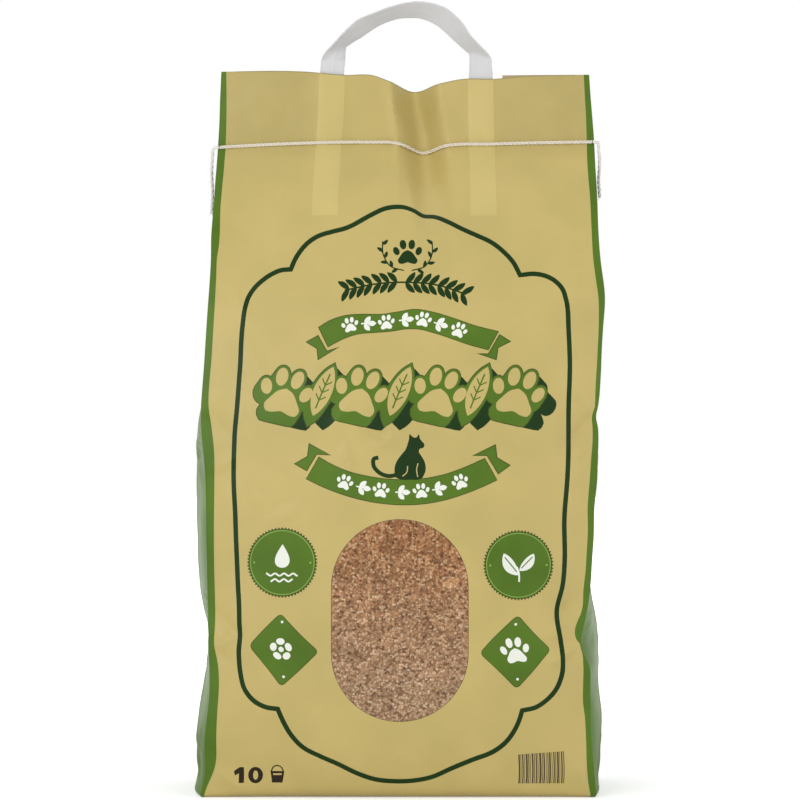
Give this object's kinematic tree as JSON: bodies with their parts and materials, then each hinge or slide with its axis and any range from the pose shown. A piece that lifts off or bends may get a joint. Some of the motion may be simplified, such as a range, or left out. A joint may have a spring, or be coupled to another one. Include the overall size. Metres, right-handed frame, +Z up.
{
  "type": "cat litter bag",
  "caption": "Filled paper sack of cat litter standing on its flat bottom, with side gussets, a sewn neck and a flat carrying strap",
  "frame": {"origin": "middle of the bounding box at the flat bottom, where the sack stands", "axes": "+Z up through the sewn neck and the strap, front panel facing -Y, +X to the right seen from the front"},
  "size_m": [0.2644, 0.1316, 0.5104],
  "materials": {
    "printed_paper": "satin laminated paper, straw yellow panels and leaf green gussets",
    "white_strap": "matt, faintly streaked along its length",
    "sewing_thread": "matt cotton"
  },
  "bodies": {
    "root": {"sack": "printed_paper", "carry_strap": "white_strap", "seam_chain_front": "sewing_thread", "seam_thread_back": "sewing_thread", "seam_tail_left": "sewing_thread", "seam_tail_right": "sewing_thread"}
  },
  "joints": []
}
